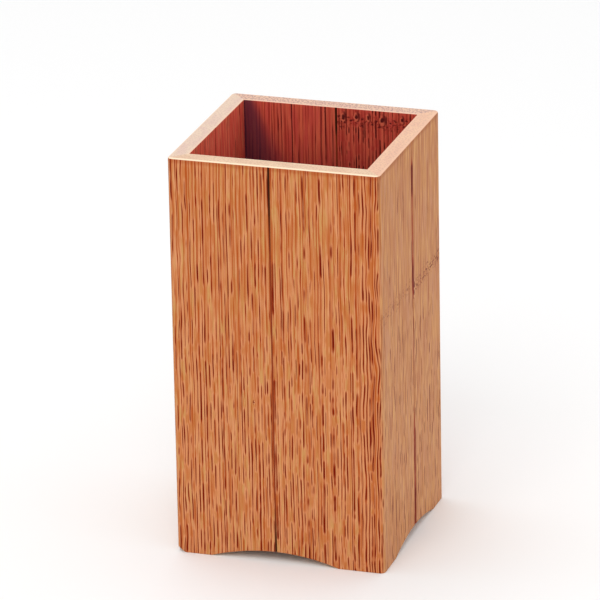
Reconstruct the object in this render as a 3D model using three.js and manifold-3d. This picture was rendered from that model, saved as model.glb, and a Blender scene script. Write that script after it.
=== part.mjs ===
// Open-topped box stand of edge-glued bamboo boards.
// Four walls meet in mitred corners, each wall is two upright staves joined by a dark glue seam,
// and a shallow arch under every wall leaves a foot at each corner. The floor sits in a groove.
// Millimetres, +Z up, +X right, front face towards -Y, origin at the middle of the base.
import * as THREE from 'three';
import { mergeVertices } from 'three/addons/utils/BufferGeometryUtils.js';
import Module from 'manifold-3d';

// Overall sizes
const WIDTH = 80;
const DEPTH = 76;
const HEIGHT = 154;
const WALL = 6.5;

// Rounded upright corners and the arches that leave the feet
const CORNER_RADIUS = 2;
const CORNER_STEPS = 4;
const ARCH_SPAN = 49;
const FRONT_ARCH_RISE = 4;
const SIDE_ARCH_RISE = 3.4;
const ARCH_STEPS = 24;

// Glue seams and the floor in its groove
const SEAM = 0.5;
const FLOOR_UNDERSIDE = 8;
const FLOOR_THICKNESS = 5;
const GROOVE_DEPTH = 3;
const GROOVE_CLEARANCE = 0.3;
const FLOOR_SEAM_X = -1.5;

// How far a cutting tool runs past the face that it cuts
const OVERRUN = 1;

// Each wall is drawn as the front wall is, centred on X, then turned about Z to its side.
// seam and arch are the places of the glue line and of the arch's crown, from the wall's middle,
// to the right as seen from outside.
const FRONT_WALL = { length: WIDTH, reach: DEPTH / 2, rise: FRONT_ARCH_RISE };
const SIDE_WALL = { length: DEPTH, reach: WIDTH / 2, rise: SIDE_ARCH_RISE };
const WALLS = [
  { name: 'front', turn: 0, ...FRONT_WALL, seam: -1.5, arch: -2, staves: ['left', 'right'] },
  { name: 'right', turn: 1, ...SIDE_WALL, seam: 2, arch: 1, staves: ['front', 'back'] },
  { name: 'back', turn: 2, ...FRONT_WALL, seam: -2.2, arch: 0, staves: ['right', 'left'] },
  { name: 'left', turn: 3, ...SIDE_WALL, seam: 2, arch: 0, staves: ['back', 'front'] },
];

const wasm = await Module();
wasm.setup();

const bambooMaterial = () => new THREE.MeshStandardMaterial({ color: 0xc98752, roughness: 0.5, metalness: 0 });
const floorMaterial = () => new THREE.MeshStandardMaterial({ color: 0x8e4a30, roughness: 0.6, metalness: 0 });
const seamMaterial = () => new THREE.MeshStandardMaterial({ color: 0x3a1a0e, roughness: 0.7, metalness: 0 });

// A closed three.js geometry as a solid that can be joined and cut.
function toSolid(geometry) {
  const bare = geometry.clone();
  bare.deleteAttribute('normal');
  bare.deleteAttribute('uv');
  const merged = mergeVertices(bare);
  const vertProperties = new Float32Array(merged.attributes.position.array);
  const triVerts = new Uint32Array(merged.index.array);
  return new wasm.Manifold(new wasm.Mesh({ numProp: 3, vertProperties, triVerts }));
}

function toGeometry(solid) {
  const mesh = solid.getMesh();
  const geometry = new THREE.BufferGeometry();
  geometry.setAttribute('position', new THREE.BufferAttribute(new Float32Array(mesh.vertProperties), 3));
  geometry.setIndex(new THREE.BufferAttribute(new Uint32Array(mesh.triVerts), 1));
  geometry.computeVertexNormals();
  return geometry;
}

// A box given by its lowest and highest corners.
function boxBetween(low, high) {
  const geometry = new THREE.BoxGeometry(high[0] - low[0], high[1] - low[1], high[2] - low[2]);
  geometry.translate((low[0] + high[0]) / 2, (low[1] + high[1]) / 2, (low[2] + high[2]) / 2);
  return geometry;
}

// A wall's plan: a trapezium between its two mitres, whose outer corners are half of the rounded edge.
function wallPlan(wall) {
  const end = wall.length / 2;
  const outer = -wall.reach;
  const centreX = end - CORNER_RADIUS;
  const centreY = outer + CORNER_RADIUS;
  const points = [];
  for (let i = 0; i <= CORNER_STEPS; i++) {
    const angle = -Math.PI / 2 + (Math.PI / 4) * (i / CORNER_STEPS);
    const x = centreX + CORNER_RADIUS * Math.cos(angle);
    points.push(new THREE.Vector2(x, centreY + CORNER_RADIUS * Math.sin(angle)));
  }
  points.push(new THREE.Vector2(end - WALL, outer + WALL));
  const mirrored = points.map((point) => new THREE.Vector2(-point.x, point.y)).reverse();
  return new THREE.Shape([...points, ...mirrored]);
}

// The arch as a solid through the wall: a flat circular segment over the span, closed below the feet.
function archTool(wall) {
  const radius = ((ARCH_SPAN / 2) ** 2 + wall.rise ** 2) / (2 * wall.rise);
  const halfAngle = Math.asin(ARCH_SPAN / 2 / radius);
  const points = [];
  for (let i = 0; i <= ARCH_STEPS; i++) {
    const angle = halfAngle * (1 - (2 * i) / ARCH_STEPS);
    const height = wall.rise - radius + radius * Math.cos(angle);
    points.push(new THREE.Vector2(radius * Math.sin(angle), height));
  }
  points.push(new THREE.Vector2(-ARCH_SPAN / 2, -OVERRUN));
  points.push(new THREE.Vector2(ARCH_SPAN / 2, -OVERRUN));
  const depth = WALL + 2 * OVERRUN;
  const geometry = new THREE.ExtrudeGeometry(new THREE.Shape(points), { depth, bevelEnabled: false });
  geometry.rotateX(Math.PI / 2);
  geometry.translate(wall.arch, -wall.reach + WALL + OVERRUN, 0);
  return toSolid(geometry);
}

// The groove along the inner face that the floor's edge sits in.
function grooveTool(wall) {
  const inner = -wall.reach + WALL;
  const low = [-wall.length / 2, inner - GROOVE_DEPTH, FLOOR_UNDERSIDE];
  const high = [wall.length / 2, inner + OVERRUN, FLOOR_UNDERSIDE + FLOOR_THICKNESS];
  return toSolid(boxBetween(low, high));
}

// The slab of a wall between two places along it.
function slab(wall, from, to) {
  const outer = -wall.reach - OVERRUN;
  return toSolid(boxBetween([from, outer, -OVERRUN], [to, outer + WALL + 2 * OVERRUN, HEIGHT + OVERRUN]));
}

function namedMesh(name, geometry, material) {
  const mesh = new THREE.Mesh(geometry, material);
  mesh.name = name;
  return mesh;
}

// One wall: two staves and the seam between them, in the wall's own group.
function makeWall(wall) {
  const prism = new THREE.ExtrudeGeometry(wallPlan(wall), { depth: HEIGHT, bevelEnabled: false });
  const board = toSolid(prism).subtract(archTool(wall)).subtract(grooveTool(wall));
  const seamStart = wall.seam - SEAM / 2;
  const seamEnd = wall.seam + SEAM / 2;
  const cut = (from, to) => toGeometry(board.intersect(slab(wall, from, to)));
  const group = new THREE.Group();
  const staveEnds = [[-wall.length, seamStart], [seamEnd, wall.length]];
  wall.staves.forEach((side, i) => {
    const geometry = cut(staveEnds[i][0], staveEnds[i][1]);
    group.add(namedMesh(`${wall.name}_${side}_stave`, geometry, bambooMaterial()));
  });
  group.add(namedMesh(`${wall.name}_seam`, cut(seamStart, seamEnd), seamMaterial()));
  group.rotation.z = (wall.turn * Math.PI) / 2;
  return group;
}

// The floor: two boards and their seam, reaching into the grooves with a little clearance.
function makeFloor() {
  const tongue = GROOVE_DEPTH - GROOVE_CLEARANCE;
  const halfX = WIDTH / 2 - WALL + tongue;
  const halfY = DEPTH / 2 - WALL + tongue;
  const top = FLOOR_UNDERSIDE + FLOOR_THICKNESS;
  const strip = (from, to) => boxBetween([from, -halfY, FLOOR_UNDERSIDE], [to, halfY, top]);
  const seamStart = FLOOR_SEAM_X - SEAM / 2;
  const seamEnd = FLOOR_SEAM_X + SEAM / 2;
  const group = new THREE.Group();
  group.add(namedMesh('floor_left_board', strip(-halfX, seamStart), floorMaterial()));
  group.add(namedMesh('floor_right_board', strip(seamEnd, halfX), floorMaterial()));
  group.add(namedMesh('floor_seam', strip(seamStart, seamEnd), seamMaterial()));
  return group;
}

const stand = new THREE.Group();
for (const wall of WALLS) {
  stand.add(makeWall(wall));
}
stand.add(makeFloor());

export default stand;
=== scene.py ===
"""Looks of a box stand of smoked bamboo boards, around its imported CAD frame.

Every wall is two staves and the glue seam between them. Each piece is made with eased edges in its wall's
own coordinates, which its material reads too: x along the wall, to the right as seen from outside, y from
the outer face inwards, and z up along the grain. The piece is then turned about Z to its side. Lengths are
in metres, and in millimetres inside the materials.
"""

import math
from collections import namedtuple

import bmesh
import bpy
from mathutils import Matrix, Vector


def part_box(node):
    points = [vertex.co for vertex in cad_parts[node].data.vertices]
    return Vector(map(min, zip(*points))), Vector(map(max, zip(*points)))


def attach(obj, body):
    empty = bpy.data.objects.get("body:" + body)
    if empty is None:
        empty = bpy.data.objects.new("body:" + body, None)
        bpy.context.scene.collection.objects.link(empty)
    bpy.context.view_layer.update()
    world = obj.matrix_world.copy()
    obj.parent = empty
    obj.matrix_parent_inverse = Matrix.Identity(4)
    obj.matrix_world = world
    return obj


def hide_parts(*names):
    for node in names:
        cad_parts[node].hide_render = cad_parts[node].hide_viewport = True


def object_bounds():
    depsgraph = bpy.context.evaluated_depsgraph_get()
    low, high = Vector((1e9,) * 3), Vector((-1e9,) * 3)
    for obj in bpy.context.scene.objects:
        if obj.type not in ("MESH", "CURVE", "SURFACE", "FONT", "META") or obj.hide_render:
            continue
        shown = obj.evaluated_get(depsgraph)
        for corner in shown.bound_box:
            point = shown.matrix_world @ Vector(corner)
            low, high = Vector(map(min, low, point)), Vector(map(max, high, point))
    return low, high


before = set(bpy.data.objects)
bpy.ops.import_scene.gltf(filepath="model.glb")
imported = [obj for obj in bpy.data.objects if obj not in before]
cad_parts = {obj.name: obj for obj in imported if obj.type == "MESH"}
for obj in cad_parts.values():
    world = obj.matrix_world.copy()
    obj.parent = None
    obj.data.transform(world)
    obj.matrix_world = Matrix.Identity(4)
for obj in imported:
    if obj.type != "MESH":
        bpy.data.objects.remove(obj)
cad_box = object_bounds()

MM = 0.001
QUARTER = math.pi / 2

# Sizes that the frame's boxes don't give
CORNER_RADIUS = 2 * MM
ARCH_SPAN = 49 * MM
FRONT_ARCH_RISE = 4 * MM
SIDE_ARCH_RISE = 3.4 * MM
ARCH_CENTRES = {"front": -2 * MM, "right": 1 * MM, "back": 0.0, "left": 0.0}
GROOVE_DEPTH = 3 * MM

# Eased edges: radii of the rounded arrises
RIM_EASE_OUT = 0.7 * MM
RIM_EASE_IN = 0.4 * MM
FOOT_EASE = 0.4 * MM
SEAM_EASE = 0.12 * MM
SEAM_SINK = 0.06 * MM
FLOOR_EASE = 0.3 * MM
FLOOR_GLUE_EASE = 0.05 * MM

# How finely curves and edges are divided, and the angle from which an edge is a crisp arris
EASE_STEPS = 5
SEAM_EASE_STEPS = 3
CORNER_STEPS = 5
ARCH_STEPS = 12
FOOT_STEPS = 4
CRISP_ANGLE = math.radians(32)

# The worn lower corner between the front and left walls, and the end of each wall that it takes
CHIP_REACH = 3.2 * MM
CHIP_RISE = 2.4 * MM
CHIPPED_END = {"front": -1, "left": 1}

# Overall sizes, from the frame
SIZE = cad_box[1] - cad_box[0]
HEIGHT = SIZE.z
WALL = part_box("front_seam")[1].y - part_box("front_seam")[0].y
FLOOR_LOW, FLOOR_HIGH = (corner.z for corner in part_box("floor_left_board"))

Wall = namedtuple("Wall", "name turn length reach rise arch seam_low seam_high staves")


def along_wall(point, turn):
    """A frame point's place along the wall that is turned this many quarters from the front."""
    return (point.x, point.y, -point.x, -point.y)[turn]


def read_wall(name, turn, staves):
    """A wall's place and its seam, as the frame has them."""
    across = turn % 2 == 1
    ends = sorted(along_wall(corner, turn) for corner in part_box(name + "_seam"))
    length, reach = (SIZE.y, SIZE.x / 2) if across else (SIZE.x, SIZE.y / 2)
    rise = SIDE_ARCH_RISE if across else FRONT_ARCH_RISE
    return Wall(name, turn, length, reach, rise, ARCH_CENTRES[name], ends[0], ends[1], staves)


WALLS = (
    read_wall("front", 0, ("left", "right")),
    read_wall("right", 1, ("front", "back")),
    read_wall("back", 2, ("right", "left")),
    read_wall("left", 3, ("back", "front")),
)


# ---------------------------------------------------------------- shapes

def spaced(first, last, count):
    """Evenly spaced numbers from first to last, both included."""
    return [first + (last - first) * i / count for i in range(count + 1)]


def arch_height(wall, x):
    """How far the arch lifts the wall's lower edge at a place along it."""
    radius = ((ARCH_SPAN / 2) ** 2 + wall.rise ** 2) / (2 * wall.rise)
    off_crown = abs(x - wall.arch)
    if off_crown >= ARCH_SPAN / 2:
        return 0.0
    return wall.rise - radius + math.sqrt(radius ** 2 - off_crown ** 2)


def foot_height(wall, x):
    """Height of a wall's lower edge at a place along it: its arch, and the chip at its worn corner."""
    if wall.name not in CHIPPED_END:
        return arch_height(wall, x)
    to_end = wall.length / 2 - CHIPPED_END[wall.name] * x
    return arch_height(wall, x) + CHIP_RISE * max(0.0, 1 - to_end / CHIP_REACH)


def add_object(name, mesh):
    """Puts a finished bmesh into the scene as an object."""
    data = bpy.data.meshes.new(name)
    mesh.to_mesh(data)
    mesh.free()
    made = bpy.data.objects.new(name, data)
    bpy.context.scene.collection.objects.link(made)
    return made


def rounding(radius, from_foot):
    """(inset, distance from the end) pairs that round an end's edge, in rising order."""
    angles = spaced(0, QUARTER, EASE_STEPS)
    if from_foot:
        angles.reverse()
    return [(radius * (1 - math.cos(a)), radius * (1 - math.sin(a))) for a in angles]


def loft(name, wall, outer, inner, rounds, foot_lift=0.0):
    """A closed upright board over its plan: outer and inner are matching rows of (x, y, inset direction).

    rounds is (outer, inner) edge radii at the foot, then at the rim. The foot follows the lower edge of the
    wall, raised by foot_lift."""
    (foot_out, foot_in), (rim_out, rim_in) = rounds
    mesh = bmesh.new()

    def ring(out_edge, in_edge, at_rim):
        points = []
        for row, (inset, gap) in ((outer, out_edge), (inner[::-1], in_edge)):
            for x, y, way in row:
                z = HEIGHT - gap if at_rim else foot_height(wall, x) + foot_lift + gap
                points.append(mesh.verts.new((x + way[0] * inset, y + way[1] * inset, z)))
        return points

    rings = [ring(a, b, False) for a, b in zip(rounding(foot_out, True), rounding(foot_in, True))]
    rings += [ring(a, b, True) for a, b in zip(rounding(rim_out, False), rounding(rim_in, False))]
    count = len(rings[0])
    for lower, upper in zip(rings, rings[1:]):
        for i in range(count):
            j = (i + 1) % count
            mesh.faces.new((lower[i], lower[j], upper[j], upper[i]))
    for end in (rings[0], rings[-1]):
        for i in range(len(outer) - 1):
            mesh.faces.new((end[i], end[i + 1], end[count - 2 - i], end[count - 1 - i]))
    bmesh.ops.recalc_face_normals(mesh, faces=mesh.faces)
    return add_object(name, mesh)


def stave_plan(wall, start, side):
    """The plan of a stave that runs from its seam edge at start to its mitred end, on side +1 or -1."""
    end = wall.length / 2
    half_arch = ARCH_SPAN / 2 + side * wall.arch
    corner = end - CORNER_RADIUS
    over_arch = spaced(start + SEAM_EASE, half_arch, ARCH_STEPS)
    over_foot = spaced(half_arch, end - CHIP_REACH, FOOT_STEPS)[1:] + [corner]
    outer, inner = [], []
    for angle in spaced(0, QUARTER, SEAM_EASE_STEPS)[:-1]:
        x = start + SEAM_EASE * (1 - math.cos(angle))
        y = SEAM_EASE * (1 - math.sin(angle))
        outer.append((x, y, (0, 1)))
        inner.append((x, WALL - y, (0, -1)))
    for x in over_arch:
        outer.append((x, 0.0, (0, 1)))
        inner.append((x, WALL, (0, -1)))
    outer += [(x, 0.0, (0, 1)) for x in over_foot]
    for angle in spaced(0, QUARTER / 2, CORNER_STEPS)[1:]:
        way = (-math.sin(angle), math.cos(angle))
        outer.append((corner - CORNER_RADIUS * way[0], CORNER_RADIUS * (1 - way[1]), way))
    rest = spaced(half_arch, end - WALL, len(outer) - len(inner))[1:]
    inner += [(x, WALL, (0, -1)) for x in rest[:-1]]
    inner.append((rest[-1], WALL, (1, -1)))
    return [[(side * x, y, (side * way[0], way[1])) for x, y, way in row] for row in (outer, inner)]


def cut_groove(piece, length):
    """Cuts the floor's groove along the inner face."""
    low = Vector((-length, WALL - GROOVE_DEPTH, FLOOR_LOW))
    high = Vector((length, WALL + GROOVE_DEPTH, FLOOR_HIGH))
    mesh = bmesh.new()
    place = Matrix.Translation((low + high) / 2) @ Matrix.Diagonal((high - low).to_4d())
    bmesh.ops.create_cube(mesh, size=1.0, matrix=place)
    cutter = add_object("groove", mesh)
    cut = piece.modifiers.new("groove", "BOOLEAN")
    cut.operation = "DIFFERENCE"
    cut.solver = "EXACT"
    cut.object = cutter
    graph = bpy.context.evaluated_depsgraph_get()
    shaped = bpy.data.meshes.new_from_object(piece.evaluated_get(graph))
    piece.modifiers.clear()
    piece.data = shaped
    bpy.data.objects.remove(cutter)


def finish_piece(piece, node, material):
    """Smooth shading with crisp arrises, the material, and hiding the CAD node that the piece stands for.
    """
    piece.data.shade_smooth()
    piece.data.set_sharp_from_angle(angle=CRISP_ANGLE)
    normals = piece.modifiers.new("flat_faces", "WEIGHTED_NORMAL")
    normals.keep_sharp = True
    piece.data.materials.clear()
    piece.data.materials.append(material)
    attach(piece, "root")
    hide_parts(node)


def place_on_side(piece, wall):
    """Turns a piece about Z from the wall's own coordinates to its side of the stand."""
    piece.rotation_euler = (0, 0, wall.turn * QUARTER)
    piece.location = Matrix.Rotation(wall.turn * QUARTER, 3, "Z") @ Vector((0, -wall.reach, 0))


# ---------------------------------------------------------------- materials: nodes

# Noise drawn out along the grain: its cells to a millimetre across and along, its own seed, and its detail
Patch = namedtuple("Patch", "across along seed detail")

# Fibre bundles: pitch across the grain, length of a mark's swell, half width for each unit of strength, the
# widest half width, and their own seed. A fleck's length is that of its face.
Bundles = namedtuple("Bundles", "pitch length widen widest seed")
THREADS = Bundles(0.95, 10.0, 1.9, 0.25, 13.0)
LINES = Bundles(1.30, 12.0, 1.8, 0.26, 31.0)
FLECKS = Bundles(1.30, 1.0, 2.1, 0.27, 53.0)

# How much of the pitch a bundle's middle strays over, how far its marks are shifted along the grain, how
# far from its neighbour it lies in the noise, its least half width, and in half widths where a mark's side
# starts and is whole
FIBRE_DRIFT = 0.62
FIBRE_SHIFT = 50.0
FIBRE_STRIDE = 7.31
FIBRE_THINNEST = 0.0001
FIBRE_EDGE = (1.3, 0.4)


class Shader:
    """One procedural material. Values are numbers, colours or sockets of earlier nodes."""

    def __init__(self, name):
        self.material = bpy.data.materials.new(name)
        self.material.use_nodes = True
        self.tree = self.material.node_tree
        self.tree.nodes.clear()
        self.surface = self.tree.nodes.new("ShaderNodeBsdfPrincipled")
        output = self.tree.nodes.new("ShaderNodeOutputMaterial")
        self.tree.links.new(self.surface.outputs["BSDF"], output.inputs["Surface"])

    def feed(self, socket, value):
        """Links a socket's value, or sets a number or a colour on the socket itself."""
        if isinstance(value, bpy.types.NodeSocket):
            self.tree.links.new(value, socket)
        elif isinstance(value, tuple) and len(value) == 3 and socket.type == "RGBA":
            socket.default_value = (*value, 1.0)
        else:
            socket.default_value = value

    def node(self, kind, inputs=None, **settings):
        made = self.tree.nodes.new("ShaderNode" + kind)
        for key, value in settings.items():
            setattr(made, key, value)
        for key, value in (inputs or {}).items():
            self.feed(made.inputs[key], value)
        return made

    def math(self, operation, a, b=0.0, clamp=False):
        return self.node("Math", {0: a, 1: b}, operation=operation, use_clamp=clamp).outputs[0]

    def add(self, a, b):
        return self.math("ADD", a, b)

    def times(self, a, b):
        return self.math("MULTIPLY", a, b)

    def ramp(self, value, low, high, to_low=0.0, to_high=1.0):
        """A smooth step from to_low at low to to_high at high."""
        inputs = {"Value": value, "From Min": low, "From Max": high, "To Min": to_low, "To Max": to_high}
        return self.node("MapRange", inputs, interpolation_type="SMOOTHSTEP").outputs[0]

    def profile(self, value, points):
        """A number that follows the straight lines between (value, number) points, in rising order."""
        first, last = points[0][0], points[-1][0]
        share = self.times(self.add(value, -first), 1 / (last - first))
        node = self.node("ValToRGB", {"Fac": share})
        steps = node.color_ramp.elements
        while len(steps) < len(points):
            steps.new(1.0)
        for step, (place, number) in zip(steps, points):
            step.position = (place - first) / (last - first)
            step.color = (number, number, number, 1.0)
        return node.outputs["Color"]

    def mix(self, share, a, b):
        return self.node("Mix", {0: share, 6: a, 7: b}, data_type="RGBA").outputs[2]

    def blend(self, share, a, b):
        """A number between a and b."""
        return self.node("Mix", {0: share, 2: a, 3: b}, data_type="FLOAT").outputs[0]

    def at(self, x, y, z):
        return self.node("CombineXYZ", {0: x, 1: y, 2: z}).outputs[0]

    def noise(self, place, detail):
        inputs = {"Vector": place, "Scale": 1.0, "Detail": detail, "Roughness": 0.5}
        return self.node("TexNoise", inputs, noise_dimensions="3D").outputs[0]

    def patches(self, x, z, patch, seed):
        """Noise drawn out along the grain, about 0.5 on average."""
        place = self.at(self.times(x, patch.across), self.times(z, patch.along), seed + patch.seed)
        return self.noise(place, patch.detail)

    def fibres(self, x, z, kind, cut, seed, stretch=1.0):
        """Fibre bundles side by side, each cut into tapering marks along the grain.

        A mark shows where the bundle's own noise rises over cut. Gives how far inside a mark a place is,
        how strong the mark is, and its distance in mm from the bundle's middle."""
        seed = seed + kind.seed
        across = self.times(x, 1 / kind.pitch)
        number = self.math("FLOOR", across)
        drift = self.node("TexWhiteNoise", {"W": self.add(number, seed)}, noise_dimensions="1D").outputs[0]
        middle = self.add(self.times(drift, FIBRE_DRIFT), (1 - FIBRE_DRIFT) / 2)
        off = self.math("ABSOLUTE", self.math("SUBTRACT", self.math("FRACT", across), middle))
        off = self.times(off, kind.pitch)
        along = self.times(self.add(z, self.times(drift, FIBRE_SHIFT)), 1 / (kind.length * stretch))
        place = self.at(self.times(number, FIBRE_STRIDE), along, seed)
        over = self.math("SUBTRACT", self.noise(place, 1.0), cut)
        half_width = self.math("MAXIMUM", self.times(over, kind.widen), FIBRE_THINNEST)
        half_width = self.math("MINIMUM", half_width, kind.widest)
        inside = self.ramp(self.math("DIVIDE", off, half_width), *FIBRE_EDGE)
        return inside, over, off


# ---------------------------------------------------------------- materials: colours

# Linear colours. The wood from tan to pink, its deeper bands, the pale wood beside a fleck, and the cut
# fibre bundles from faint to dark
Tone = namedtuple("Tone", "tan pink deep light line fleck core")
FRONT_TONE = Tone((0.58, 0.283, 0.098), (0.62, 0.258, 0.112), (0.52, 0.152, 0.042), (0.74, 0.325, 0.150),
                  (0.41, 0.072, 0.011), (0.32, 0.034, 0.004), (0.165, 0.008, 0.002))
# Side walls: paler and less saturated than the front, partly painted sheen of light reflected at a grazing
# angle
SIDE_TONE = Tone((0.68, 0.345, 0.138), (0.59, 0.275, 0.142), (0.53, 0.205, 0.078), (0.70, 0.355, 0.170),
                 (0.40, 0.115, 0.040), (0.33, 0.080, 0.028), (0.17, 0.022, 0.010))
# Inner faces and floor: the bamboo with painted shade and the painted red of light bounced inside the box
SHADED_INNER_TONE = Tone((0.70, 0.130, 0.068), (0.64, 0.094, 0.066), (0.53, 0.062, 0.042), (0.74, 0.155, 0.085),
                  (0.36, 0.034, 0.023), (0.24, 0.018, 0.014), (0.08, 0.007, 0.009))
# Left wall's inner faces: a brighter copy of the inner tone, painted light falling on them from the right
LIT_LEFT_INNER_TONE = Tone((0.94, 0.224, 0.125), (0.90, 0.152, 0.105), (0.76, 0.087, 0.055),
                       (0.95, 0.290, 0.160), (0.62, 0.060, 0.040), (0.48, 0.040, 0.028),
                       (0.22, 0.016, 0.014))
# Painted shade in the back wall's inner corner
CORNER_SHADE_PURPLE = (0.075, 0.020, 0.045)
GLUE_BLACK = (0.045, 0.012, 0.005)
GLUE_RED = (0.33, 0.028, 0.014)
GLUE_WORN = (0.26, 0.040, 0.014)

# Finish of the wood and of the glue
SATIN = 0.40
FLECK_ROUGHNESS = SATIN + 0.08
GLUE_ROUGHNESS = 0.6
SHEEN_LEVEL = 0.02


# ---------------------------------------------------------------- materials: cut along the grain

# A step or zone of two numbers starts at the first and is whole at the second. One of four also has what
# it gives at its start and at its end. Strengths and cuts are given for sparse and then for dense fibres.

# Where a board turns from its seam's density of fibres to its corner's, as shares of its width
DENSE_ZONE = (0.62, 0.92)

# The ground between the fibres
HUE = Patch(1 / 1.8, 1 / 16, 3.1, 1.0)
HUE_STEP = (0.38, 0.62)
BANDS = Patch(1 / 2.2, 1 / 15, 7.7, 2.0)
BAND_STEP = (0.41, 0.58)
BAND_STRENGTHS = (0.15, 0.95)
MORE_BANDS = (0.75, 1.0, 0.0, 0.10)

# How the bundles are spaced, and where they crowd or fade
UNEVEN = Patch(0.6, 0.0, 83.0, 1.0)
UNEVEN_REACH = 1.6
CROWD = Patch(1 / 8, 1 / 30, 61.0, 1.0)
CROWD_REACH = 0.28
FADING = Patch(1 / 3, 1 / 10, 71.0, 1.0)
FADING_STEP = (0.36, 0.62, 0.45, 1.0)

# Towards the rim there are more lines and fewer flecks, and above mid-height both grow longer
RIM_Z = HEIGHT / MM
RIM_ZONE = (RIM_Z - 125.0, RIM_Z - 10.0, 0.0, 0.10)
RIM_FEWER_FLECKS = 0.8
LONGER_FROM = 90.0
LONGER_SHARE = 0.38

# Threads, lines and flecks show where their noise is over a cut. A fleck has a dark core where it is
# strongest, and paler wood beside it.
THREAD_CUT = 0.41
THREAD_STRENGTH = 0.7
LINE_CUTS = (0.47, 0.34)
LINE_STEP = (0.0, 0.22, 0.15, 0.85)
FLECK_CUTS = (0.50, 0.28)
FLECK_STEP = (0.0, 0.15, 0.20, 1.0)
CORE_STEP = (0.07, 0.20, 0.0, 0.95)
PALE_REACH = (0.85, 0.35)
PALE_STEP = (0.0, 0.12, 0.0, 0.7)

# Marks of one face, placed along the wall and up it: a line that runs the whole board, a small knot, a culm
# node that crosses the board on a slope, and painted shade by a corner that widens down from the rim
Line = namedtuple("Line", "x half_width strength")
Knot = namedtuple("Knot", "x z size")
CulmNode = namedtuple("CulmNode", "x z slope strength")
Stain = namedtuple("Stain", "x width spread strength")
LINE_CORE = 0.25
CORNER_SHADE_EDGE = (1.0, 0.35)

# One face of a board: fibre density by the seam and by the corner (0 to 1), length of a fleck, how far the
# grain bends, and its marks
Face = namedtuple("Face", "tone near far length bend lines knots node stain",
                  defaults=(0.4, 0.4, 9.0, 1.2, (), (), None, None))


def ground(s, tone, seed, x, z, density):
    """The wood between the fibres: tan to pink, with deeper bands, plainest where the fibres are dense."""
    colour = s.mix(s.ramp(s.patches(x, z, HUE, seed), *HUE_STEP), tone.tan, tone.pink)
    bands = s.add(s.patches(x, z, BANDS, seed), s.ramp(density, *MORE_BANDS))
    return s.mix(s.times(s.ramp(bands, *BAND_STEP), s.blend(density, *BAND_STRENGTHS)), colour, tone.deep)


def fibre_marks(s, face, colour, seed, x, z, density):
    """Threads, lines and flecks over a colour. Gives the colour, and how plain the lines and flecks are."""
    tone = face.tone
    uneven = s.add(s.patches(x, z, UNEVEN, seed), -0.5)
    spaced_x = s.add(x, s.times(uneven, UNEVEN_REACH))
    above = s.math("MAXIMUM", s.add(z, -LONGER_FROM), 0.0)
    slow_z = s.add(z, s.times(above, -LONGER_SHARE))
    crowd = s.times(s.add(s.patches(x, z, CROWD, seed), -0.5), CROWD_REACH)
    by_rim = s.ramp(z, *RIM_ZONE)
    fading = s.ramp(s.patches(x, z, FADING, seed), *FADING_STEP)

    thread, _, _ = s.fibres(spaced_x, z, THREADS, THREAD_CUT, seed)
    colour = s.mix(s.times(thread, THREAD_STRENGTH), colour, tone.deep)

    line_cut = s.math("SUBTRACT", s.add(crowd, s.blend(density, *LINE_CUTS)), by_rim)
    line, over, _ = s.fibres(spaced_x, slow_z, LINES, line_cut, seed)
    line_show = s.times(line, s.ramp(over, *LINE_STEP))

    fleck_cut = s.add(s.add(crowd, s.blend(density, *FLECK_CUTS)), s.times(by_rim, RIM_FEWER_FLECKS))
    fleck, over, off = s.fibres(spaced_x, slow_z, FLECKS, fleck_cut, seed, face.length)
    fleck = s.times(fleck, fading)
    fleck_show = s.times(fleck, s.ramp(over, *FLECK_STEP))
    core_show = s.times(fleck, s.ramp(over, *CORE_STEP))
    pale_show = s.times(s.ramp(off, *PALE_REACH), s.ramp(over, *PALE_STEP))

    colour = s.mix(pale_show, colour, tone.light)
    colour = s.mix(line_show, colour, tone.line)
    colour = s.mix(fleck_show, colour, tone.fleck)
    colour = s.mix(core_show, colour, tone.core)
    return colour, s.math("MAXIMUM", fleck_show, line_show)


def drawn_line(s, tone, line, colour, x):
    """A single dark line along the board."""
    gap = s.math("ABSOLUTE", s.add(x, -line.x))
    shown = s.ramp(gap, line.half_width, line.half_width * LINE_CORE, 0.0, line.strength)
    return s.mix(shown, colour, tone.core)


def corner_shaded(s, stain, colour, x, z):
    """Painted shade by an inner corner, dark purple, widening down from the rim."""
    edge = s.add(s.times(s.add(RIM_Z, s.times(z, -1.0)), stain.spread), stain.width)
    gap = s.math("DIVIDE", s.math("ABSOLUTE", s.add(x, -stain.x)), edge)
    return s.mix(s.ramp(gap, *CORNER_SHADE_EDGE, 0.0, stain.strength), colour, CORNER_SHADE_PURPLE)


# A culm node: how it wavers, its half width from edge to middle, and the blots and dots in it
NODE_WOBBLE = Patch(0.4, 0.4, 0.0, 2.0)
NODE_WOBBLE_REACH = 6.0
NODE_BAND = (3.4, 0.8)
NODE_BLOTS = Patch(0.9, 0.7, 0.0, 2.0)
NODE_BLOT_STEP = (0.44, 0.64, 0.0, 0.6)
NODE_DOTS = Patch(0.7, 1.0, 0.0, 1.0)
NODE_DOT_STEP = (0.54, 0.66)


def node_band(s, tone, node, colour, x, z):
    """The culm's node across a board: a wavering, mottled band with small dark dots."""
    middle = s.add(s.times(s.add(x, -node.x), node.slope), node.z)
    wobble = s.add(s.patches(x, z, NODE_WOBBLE, node.z), -0.5)
    off = s.add(s.math("SUBTRACT", z, middle), s.times(wobble, NODE_WOBBLE_REACH))
    band = s.ramp(s.math("ABSOLUTE", off), *NODE_BAND)
    blots = s.times(band, s.ramp(s.patches(x, z, NODE_BLOTS, node.z), *NODE_BLOT_STEP))
    colour = s.mix(s.times(blots, node.strength), colour, tone.fleck)
    dots = s.times(band, s.ramp(s.patches(x, z, NODE_DOTS, node.z), *NODE_DOT_STEP))
    return s.mix(s.times(dots, node.strength), colour, tone.core)


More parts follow.
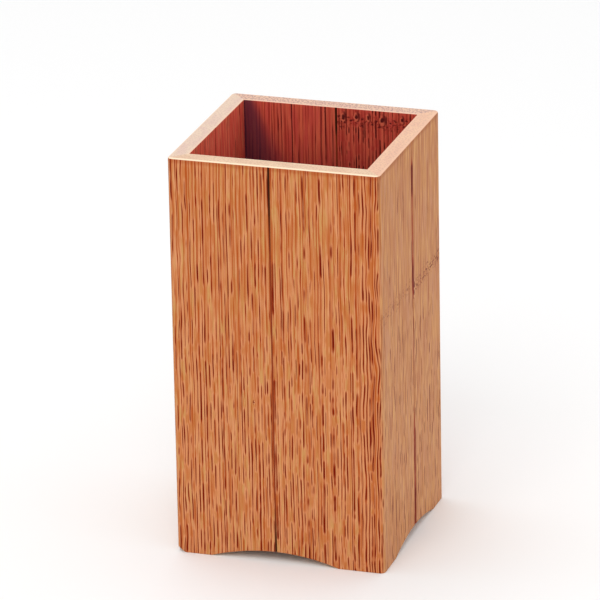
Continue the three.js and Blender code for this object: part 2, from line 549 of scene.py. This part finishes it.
# A knot, in units of its own size: how it is flattened, and its shadow, ring and eye from outside in. The
# shadow is on the side of lower x, where the ring is open.
KNOT_FLATTEN = 0.62
KNOT_WOBBLE = Patch(0.9, 0.9, 0.0, 2.0)
KNOT_SHADOW = (1.9, 1.3)
KNOT_SHADOW_SIDE = (0.6, -0.8)
KNOT_SHADOW_STRENGTH = 0.75
KNOT_RING = (1.35, 1.05)
KNOT_RING_SIDE = (-0.9, 0.1)
KNOT_RING_LEAN = -0.5
KNOT_RING_STRENGTH = 0.8
KNOT_EYE = (0.80, 0.45)
KNOT_EYE_STRENGTH = 0.95


def knotted(s, tone, knot, colour, x, z):
    """A small knot: a dark eye inside a pale, half-closed ring."""
    across = s.times(s.add(x, -knot.x), 1 / knot.size)
    along = s.times(s.add(z, -knot.z), KNOT_FLATTEN / knot.size)
    square = s.add(s.times(across, across), s.times(along, along))
    wobble = s.add(s.patches(x, z, KNOT_WOBBLE, knot.x), -0.5)
    off = s.add(s.math("SQRT", square), wobble)
    shadow = s.times(s.ramp(off, *KNOT_SHADOW), s.ramp(across, *KNOT_SHADOW_SIDE))
    colour = s.mix(s.times(shadow, KNOT_SHADOW_STRENGTH), colour, tone.core)
    leaning = s.add(across, s.times(along, KNOT_RING_LEAN))
    ring = s.times(s.ramp(off, *KNOT_RING), s.ramp(leaning, *KNOT_RING_SIDE))
    colour = s.mix(s.times(ring, KNOT_RING_STRENGTH), colour, tone.light)
    return s.mix(s.times(s.ramp(off, *KNOT_EYE), KNOT_EYE_STRENGTH), colour, tone.core)


def grain(s, face, seed, x, z, reach):
    """Colour of a face cut along the grain, and how plain its flecks are.

    reach is 0 at the seam and 1 at the board's end."""
    density = s.ramp(reach, *DENSE_ZONE, face.near, face.far)
    colour = ground(s, face.tone, seed, x, z, density)
    colour, fleck = fibre_marks(s, face, colour, seed, x, z, density)
    for line in face.lines:
        colour = drawn_line(s, face.tone, line, colour, x)
    # Painted shade by an inner corner
    if face.stain:
        colour = corner_shaded(s, face.stain, colour, x, z)
    if face.node:
        colour = node_band(s, face.tone, face.node, colour, x, z)
    for knot in face.knots:
        colour = knotted(s, face.tone, knot, colour, x, z)
    return colour, fleck


# ---------------------------------------------------------------- materials: sawn ends

# Sawn rim of a wall: its two shades of wood, the painted highlight of its eased edges, the cut bundles that
# dot it, and how plain they are
Rim = namedtuple("Rim", "pale pink edge dot dots")

BUNDLE_PITCH = 1.1
BUNDLE_RANDOMNESS = 0.9
BUNDLE_DOT = (0.40, 0.16)
RIM_PATCHES = Patch(1 / 9, 1 / 4, 2.0, 1.0)
RIM_PATCH_STEP = (0.35, 0.65)
# The painted highlight along the rim's edges: in mm from each face where it ends and where it is whole, and
# its share
EDGE_HIGHLIGHT_ZONE = (1.1, 0.6)
EDGE_HIGHLIGHT_SHARE = 0.45

# How far a face looks up, from -1 to 1: where a board's side turns into its sawn end, where the eased edge
# turns into the flat rim, and where the foot turns under
TURNING_UP = (0.40, 0.60)
TURNING_FLAT = (0.97, 0.999)
TURNING_UNDER = (-0.70, -0.85, 0.0, 0.8)


def end_grain(s, x, y, seed, rim):
    """Colour of the sawn ends: cut bundles dot the pale wood, and a painted highlight runs along the edges.
    """
    place = s.at(s.times(x, 1 / BUNDLE_PITCH), s.times(y, 1 / BUNDLE_PITCH), seed)
    inputs = {"Vector": place, "Scale": 1.0, "Randomness": BUNDLE_RANDOMNESS}
    dots = s.node("TexVoronoi", inputs, voronoi_dimensions="2D").outputs["Distance"]
    colour = s.mix(s.ramp(s.patches(x, y, RIM_PATCHES, seed), *RIM_PATCH_STEP), rim.pale, rim.pink)
    colour = s.mix(s.ramp(dots, *BUNDLE_DOT, 0.0, rim.dots), colour, rim.dot)
    wall = WALL / MM
    inner_zone = (wall - gap for gap in EDGE_HIGHLIGHT_ZONE)
    # Painted highlight along the rim's outer and inner edges
    edge = s.math("MAXIMUM", s.ramp(y, *EDGE_HIGHLIGHT_ZONE), s.ramp(y, *inner_zone))
    return s.mix(s.times(edge, EDGE_HIGHLIGHT_SHARE), colour, rim.edge)


def sawn_top(s, up, colour, ends, rim):
    """A board's colour, with the painted highlight on the eased edge and the sawn end where the faces look
    up.
    """
    top = s.mix(s.ramp(up, *TURNING_FLAT), rim.edge, ends)
    return s.mix(s.ramp(up, *TURNING_UP), colour, top)


# ---------------------------------------------------------------- materials: glue and boards

# A wall's glue line: how plain it shows at each height, as (z, 0 to 1), how far it spreads on the boards,
# how patchy it is, and its colour
Seam = namedtuple("Seam", "seed levels spread patchy shade")

# How long the glue's patches are, to how many times its level they may raise it, and its least spread
GLUE_PATCH_LENGTH = 9.0
GLUE_MOST = 6.0
GLUE_LEAST_SPREAD = 0.01

# The side and the middle of the spread, in shares of it, and the levels where the glue is lost, sound and
# whole
GLUE_SIDE = (1.0, 0.4)
GLUE_MIDDLE = (0.5, 0.2)
GLUE_LOST = (0.0, 0.15)
GLUE_SOUND = (0.15, 1.0)
GLUE_WHOLE = (0.65, 1.0)

# How the grain bends along a board: a slow sway, and a ripple near the board's end
SWAY = Patch(1 / 9, 1 / 24, 23.0, 2.0)
SWAY_REACH = 0.6
RIPPLE = Patch(1 / 6, 1 / 17, 29.0, 1.0)
RIPPLE_ZONE = (0.70, 0.90, 0.0, 1.1)

# The inner face has a seed of its own, starts this far through the board, and has painted shade that
# darkens it down from the rim, deeper in the box. The outer face has painted shade just under the eased
# rim.
INSIDE_SEED = 200.0
INSIDE_ZONE = (WALL / MM * 0.55, WALL / MM * 0.6)
INSIDE_SHADE_DEPTH = (RIM_Z - 10.0, RIM_Z - 36.0, 0.0, 0.45)
SHADE_UNDER_RIM = (RIM_Z - 2.4, RIM_Z - 1.0, 0.0, 0.35)

# Flecks are slightly sunk in the polished wood
BUMP_STRENGTH = 0.2
BUMP_DEPTH = 0.04 * MM


def board_places(s):
    """A board's coordinates in millimetres, and how far its faces look up."""
    coords = s.node("TexCoord")
    inputs = {0: coords.outputs["Object"], 1: (1 / MM,) * 3}
    millimetres = s.node("VectorMath", inputs, operation="MULTIPLY")
    x, y, z = s.node("SeparateXYZ", {0: millimetres.outputs[0]}).outputs
    up = s.node("SeparateXYZ", {0: coords.outputs["Normal"]}).outputs[2]
    return x, y, z, up


def glue_shows(s, seam, z):
    """How plain the glue line is at a height, from 0 to 1."""
    patches = s.noise(s.at(seam.seed, s.times(z, 1 / GLUE_PATCH_LENGTH), 0.0), 2.0)
    level = s.profile(z, seam.levels)
    patched = s.math("ADD", level, s.times(s.add(patches, -0.5), seam.patchy), clamp=True)
    return s.math("MINIMUM", patched, s.times(level, GLUE_MOST))


def glued_edge(s, seam, from_seam, z, outer_colour, inner_colour):
    """Both faces with the glue that has spread on them from the seam. It is black where it is whole."""
    level = glue_shows(s, seam, z)
    off = s.math("DIVIDE", from_seam, s.math("MAXIMUM", s.times(level, seam.spread), GLUE_LEAST_SPREAD))
    spread = s.times(level, s.ramp(off, *GLUE_SIDE))
    outer_colour = s.mix(spread, outer_colour, seam.shade)
    inner_colour = s.mix(spread, inner_colour, seam.shade)
    whole = s.times(s.ramp(level, *GLUE_WHOLE), s.ramp(off, *GLUE_MIDDLE))
    return s.mix(whole, outer_colour, GLUE_BLACK), inner_colour


def bamboo(name, board, rim, seam, seam_x, width):
    """Bamboo for one board, read in the wall's coordinates. seam_x is the board's edge at the seam."""
    s = Shader(name)
    seed, outside, inside = board
    x, y, z, up = board_places(s)
    from_seam = s.math("ABSOLUTE", s.add(x, -seam_x))
    reach = s.times(from_seam, 1 / width)
    ripple = s.times(s.add(s.patches(x, z, RIPPLE, seed), -0.5), s.ramp(reach, *RIPPLE_ZONE))
    sway = s.add(s.times(s.add(s.patches(x, z, SWAY, seed), -0.5), SWAY_REACH), ripple)
    outer_x = s.add(x, s.times(sway, outside.bend))
    inner_x = s.add(x, s.times(sway, inside.bend))
    outer_colour, fleck = grain(s, outside, seed, outer_x, z, reach)
    inner_colour, _ = grain(s, inside, seed + INSIDE_SEED, inner_x, z, reach)
    # Painted shade: the inner face darkens down from the rim, deeper into the box
    inner_colour = s.mix(s.ramp(z, *INSIDE_SHADE_DEPTH), inner_colour, inside.tone.core)
    if seam:
        outer_colour, inner_colour = glued_edge(s, seam, from_seam, z, outer_colour, inner_colour)
    # Painted shade just under the eased rim, where the rounded edge turns away from the light
    outer_colour = s.mix(s.ramp(z, *SHADE_UNDER_RIM), outer_colour, outside.tone.fleck)
    colour = s.mix(s.ramp(y, *INSIDE_ZONE), outer_colour, inner_colour)
    ends = end_grain(s, x, y, seed, rim)
    # The rim is sawn end grain, and its eased edges carry the painted highlight
    colour = sawn_top(s, up, colour, ends, rim)
    colour = s.mix(s.ramp(up, *TURNING_UNDER), colour, ends)
    s.feed(s.surface.inputs["Base Color"], colour)
    s.feed(s.surface.inputs["Roughness"], s.ramp(fleck, 0.0, 1.0, SATIN, FLECK_ROUGHNESS))
    inputs = {"Strength": BUMP_STRENGTH, "Distance": BUMP_DEPTH, "Height": s.times(fleck, -1.0)}
    s.feed(s.surface.inputs["Normal"], s.node("Bump", inputs).outputs[0])
    s.surface.inputs["Specular IOR Level"].default_value = SHEEN_LEVEL
    return s.material


def glue(name, seam, rim):
    """The glue line between two boards, darkest where it is whole and red-brown where it is worn."""
    s = Shader(name)
    x, y, z, up = board_places(s)
    level = glue_shows(s, seam, z)
    worn = s.mix(s.ramp(level, *GLUE_LOST), FRONT_TONE.deep, GLUE_WORN)
    colour = s.mix(s.ramp(level, *GLUE_SOUND), worn, seam.shade)
    # The glue's top, with the rim's painted edge highlight
    colour = sawn_top(s, up, colour, end_grain(s, x, y, seam.seed, rim), rim)
    s.feed(s.surface.inputs["Base Color"], colour)
    s.surface.inputs["Roughness"].default_value = GLUE_ROUGHNESS
    s.surface.inputs["Specular IOR Level"].default_value = SHEEN_LEVEL
    return s.material


# ---------------------------------------------------------------- the stand

SEAMS = {
    "front": Seam(3.0, ((0, 0.9), (10, 0.8), (24, 0.3), (60, 0.28), (118, 0.30), (137, 0.85), (154, 1.0)),
                  0.28, 0.6, GLUE_BLACK),
    "right": Seam(11.0, ((0, 0.9), (38, 0.8), (58, 0.25), (92, 0.25), (97, 0.9), (105, 0.9), (112, 0.6),
                         (128, 0.6), (136, 1.0), (144, 1.0), (148, 0.2), (154, 0.0)), 1.5, 0.9, GLUE_RED),
    "back": Seam(19.0, ((0, 0.7), (30, 0.4), (138, 0.4), (147, 1.0), (154, 1.0)), 0.25, 1.2, GLUE_BLACK),
    "left": Seam(27.0, ((0, 0.8), (30, 0.4), (135, 0.4), (145, 0.8), (154, 0.4)), 0.40, 1.2, GLUE_RED),
}
# A rim's edge colour is its painted highlight: brightest on the front, hardly brighter than the wood on the
# right
RIMS = {
    "front": Rim((0.79, 0.57, 0.40), (0.75, 0.51, 0.36), (0.95, 0.76, 0.55), (0.52, 0.37, 0.26), 0.50),
    "right": Rim((0.84, 0.54, 0.37), (0.80, 0.49, 0.35), (0.86, 0.54, 0.38), (0.60, 0.37, 0.29), 0.60),
    "back": Rim((0.77, 0.52, 0.38), (0.72, 0.46, 0.36), (0.86, 0.60, 0.45), (0.38, 0.24, 0.24), 0.90),
    "left": Rim((0.78, 0.60, 0.47), (0.74, 0.54, 0.45), (0.86, 0.64, 0.48), (0.56, 0.40, 0.34), 0.45),
}

# Marks on the front, across the right wall, and inside the back wall near the rim
FRONT_KNOTS = (Knot(-8.8, 62.5, 0.35),)
RIGHT_FRONT_NODE = CulmNode(2.0, 99.5, 0.04, 0.45)
RIGHT_BACK_NODE = CulmNode(2.0, 97.0, 0.04, 1.0)
RIGHT_KNOTS = (Knot(3.8, 97.8, 1.2), Knot(3.4, 95.0, 1.0))
BACK_NODE = CulmNode(-15.0, 149.0, 0.0, 0.9)
BACK_KNOTS = (Knot(-5.0, 150.4, 0.9), Knot(-10.0, 150.9, 0.9), Knot(-14.6, 150.9, 0.8),
              Knot(-20.0, 150.3, 1.0), Knot(-27.6, 150.9, 0.7))
BACK_LINES = (Line(15.0, 0.35, 0.9), Line(3.6, 0.35, 0.7), Line(33.2, 0.5, 0.9))
# Painted shade in the back wall's inner corner by the left wall, widening down into the box
BACK_CORNER_SHADE = Stain(33.5, 5.5, 0.60, 0.80)

PLAIN_INSIDE = Face(SHADED_INNER_TONE)
# Painted light: the brighter inside of the left wall
LIT_LEFT_INSIDE = Face(LIT_LEFT_INNER_TONE)
LEFT_OUTSIDE = Face(SIDE_TONE, 0.4, 0.4, 10.0, 1.0)
RIGHT_FRONT_OUTSIDE = Face(SIDE_TONE, 0.3, 0.3, 10.0, 1.0, node=RIGHT_FRONT_NODE)
RIGHT_BACK_OUTSIDE = Face(SIDE_TONE, 0.2, 0.2, 10.0, 1.0, knots=RIGHT_KNOTS, node=RIGHT_BACK_NODE)
BACK_RIGHT_INSIDE = Face(SHADED_INNER_TONE, 0.72, 0.65, 3.2, knots=BACK_KNOTS, node=BACK_NODE)
BACK_LEFT_INSIDE = Face(SHADED_INNER_TONE, 0.28, 0.28, 20.0, lines=BACK_LINES, stain=BACK_CORNER_SHADE)

# A board's seed, and its outer and inner faces
Board = namedtuple("Board", "seed outside inside")
BOARDS = {
    "front_left_stave": Board(1.0, Face(FRONT_TONE, 0.61, 0.76, 9.0, 1.4, knots=FRONT_KNOTS), PLAIN_INSIDE),
    "front_right_stave": Board(16.0, Face(FRONT_TONE, 0.64, 1.00, 8.0, 2.2), PLAIN_INSIDE),
    "right_front_stave": Board(27.0, RIGHT_FRONT_OUTSIDE, PLAIN_INSIDE),
    "right_back_stave": Board(39.0, RIGHT_BACK_OUTSIDE, PLAIN_INSIDE),
    "back_right_stave": Board(52.0, Face(FRONT_TONE, 0.45, 0.6, 8.0, 1.4), BACK_RIGHT_INSIDE),
    "back_left_stave": Board(66.0, Face(FRONT_TONE, 0.45, 0.5, 8.0, 1.4), BACK_LEFT_INSIDE),
    "left_back_stave": Board(78.0, LEFT_OUTSIDE, LIT_LEFT_INSIDE),
    "left_front_stave": Board(91.0, LEFT_OUTSIDE, LIT_LEFT_INSIDE),
}
FLOOR_BOARD = Board(310.0, PLAIN_INSIDE, PLAIN_INSIDE)
FLOOR_SEAM = Seam(35.0, ((0, 1.0), (1, 1.0)), 0.3, 0.0, GLUE_BLACK)


def make_wall(wall):
    """A wall's two staves and the glue line between them."""
    edges = ((-1, -wall.seam_low), (1, wall.seam_high))
    rounds = ((FOOT_EASE, FOOT_EASE), (RIM_EASE_OUT, RIM_EASE_IN))
    seam = SEAMS[wall.name]
    rim = RIMS[wall.name]
    for stave, (way, start) in zip(wall.staves, edges):
        node = f"{wall.name}_{stave}_stave"
        outer_row, inner_row = stave_plan(wall, start, way)
        piece = loft(f"{wall.name}_{stave}_board", wall, outer_row, inner_row, rounds)
        cut_groove(piece, wall.length)
        place_on_side(piece, wall)
        width = (wall.length / 2 - start) / MM
        material = bamboo(node + "_bamboo", BOARDS[node], rim, seam, start * way / MM, width)
        finish_piece(piece, node, material)
    ends = (wall.seam_low, wall.seam_high)
    outer_row = [(x, SEAM_SINK, (0, 1)) for x in ends]
    inner_row = [(x, WALL - SEAM_SINK, (0, -1)) for x in ends]
    piece = loft(wall.name + "_glue_line", wall, outer_row, inner_row, rounds, SEAM_SINK)
    cut_groove(piece, wall.length)
    place_on_side(piece, wall)
    node = wall.name + "_seam"
    finish_piece(piece, node, glue(node + "_glue", seam, rim))


def make_floor_board(node, name, material, ease):
    """A floor piece, with its grain along Y: its own z runs along the board, its y down from the top."""
    low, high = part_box(node)
    mesh = bmesh.new()
    size = high - low
    bmesh.ops.create_cube(mesh, size=1.0, matrix=Matrix.Diagonal((size.x, size.z, size.y, 1)))
    bmesh.ops.translate(mesh, vec=(0, size.z / 2, 0), verts=mesh.verts)
    bmesh.ops.bevel(mesh, geom=list(mesh.edges), offset=ease, segments=2, profile=0.5, affect="EDGES")
    piece = add_object(name, mesh)
    piece.rotation_euler = (-QUARTER, 0, 0)
    piece.location = ((low.x + high.x) / 2, (low.y + high.y) / 2, high.z)
    finish_piece(piece, node, material)


for wall in WALLS:
    make_wall(wall)

floor_bamboo = bamboo("floor_bamboo", FLOOR_BOARD, RIMS["back"], None, 0.0, SIZE.x / MM)
make_floor_board("floor_left_board", "floor_left_slat", floor_bamboo, FLOOR_EASE)
make_floor_board("floor_right_board", "floor_right_slat", floor_bamboo, FLOOR_EASE)
floor_glue = glue("floor_seam_glue", FLOOR_SEAM, RIMS["back"])
make_floor_board("floor_seam", "floor_glue_line", floor_glue, FLOOR_GLUE_EASE)


# ---------------------------------------------------------------- stage, light and camera

STUDIO_HALF = 8.0
STUDIO_WHITE = (0.95, 0.95, 0.95)
STUDIO_ROUGHNESS = 0.9
WORLD_STRENGTH = 0.8

Softbox = namedtuple("Softbox", "place size power")
SOFTBOXES = {
    "key_light": Softbox((0.1, -1.6, 1.8), (1.4, 1.2), 15),
    "top_light": Softbox((-0.3, 0.3, 1.8), (1.0, 1.0), 5),
}
LIGHT_TARGET = Vector((0, 0, 0.08))

# The camera's direction in degrees, its lens and sensor in mm, its distance, and the point that it looks
# at: a height above the base, and how far to the right as the camera sees it
AZIMUTH = 18.07
ELEVATION = 20.69
ROLL = -1.09
LENS = 334.3
SENSOR = 36
DISTANCE = 2.0484
AIM_HEIGHT = 0.08938
AIM_SIDE = -0.00271


def make_stage_floor():
    half = STUDIO_HALF
    corners = [(-half, -half, 0), (half, -half, 0), (half, half, 0), (-half, half, 0)]
    data = bpy.data.meshes.new("studio_floor")
    data.from_pydata(corners, [], [(0, 1, 2, 3)])
    floor = bpy.data.objects.new("studio_floor", data)
    bpy.context.scene.collection.objects.link(floor)
    paint = Shader("studio_white")
    paint.feed(paint.surface.inputs["Base Color"], STUDIO_WHITE)
    paint.surface.inputs["Roughness"].default_value = STUDIO_ROUGHNESS
    data.materials.append(paint.material)


def make_world():
    world = bpy.data.worlds.new("studio")
    world.use_nodes = True
    background = world.node_tree.nodes["Background"]
    background.inputs["Color"].default_value = (1.0, 1.0, 1.0, 1.0)
    background.inputs["Strength"].default_value = WORLD_STRENGTH
    bpy.context.scene.world = world


def make_softbox(name, box):
    data = bpy.data.lights.new(name, "AREA")
    data.shape = "RECTANGLE"
    data.size, data.size_y = box.size
    data.energy = box.power
    light = bpy.data.objects.new(name, data)
    light.location = box.place
    light.rotation_mode = "QUATERNION"
    light.rotation_quaternion = (LIGHT_TARGET - Vector(box.place)).to_track_quat("-Z", "Y")
    bpy.context.scene.collection.objects.link(light)


def make_camera():
    """A long lens, to the right of the front and above, rolled slightly."""
    azimuth, elevation, roll = (math.radians(angle) for angle in (AZIMUTH, ELEVATION, ROLL))
    level = math.cos(elevation)
    back = Vector((math.sin(azimuth) * level, -math.cos(azimuth) * level, math.sin(elevation)))
    right = Vector((math.cos(azimuth), math.sin(azimuth), 0))
    up = back.cross(right)
    turned_right = right * math.cos(roll) + up * math.sin(roll)
    turned_up = up * math.cos(roll) - right * math.sin(roll)
    data = bpy.data.cameras.new("camera")
    data.lens = LENS
    data.sensor_width = SENSOR
    data.clip_start = 0.1
    data.clip_end = 100
    camera = bpy.data.objects.new("camera", data)
    axes = Matrix((turned_right, turned_up, back)).transposed().to_4x4()
    aim = right * AIM_SIDE + Vector((0, 0, AIM_HEIGHT))
    camera.matrix_world = Matrix.Translation(aim + back * DISTANCE) @ axes
    bpy.context.scene.collection.objects.link(camera)
    bpy.context.scene.camera = camera


make_stage_floor()
make_world()
for name, box in SOFTBOXES.items():
    make_softbox(name, box)
make_camera()
bpy.context.scene.view_settings.view_transform = "Standard"
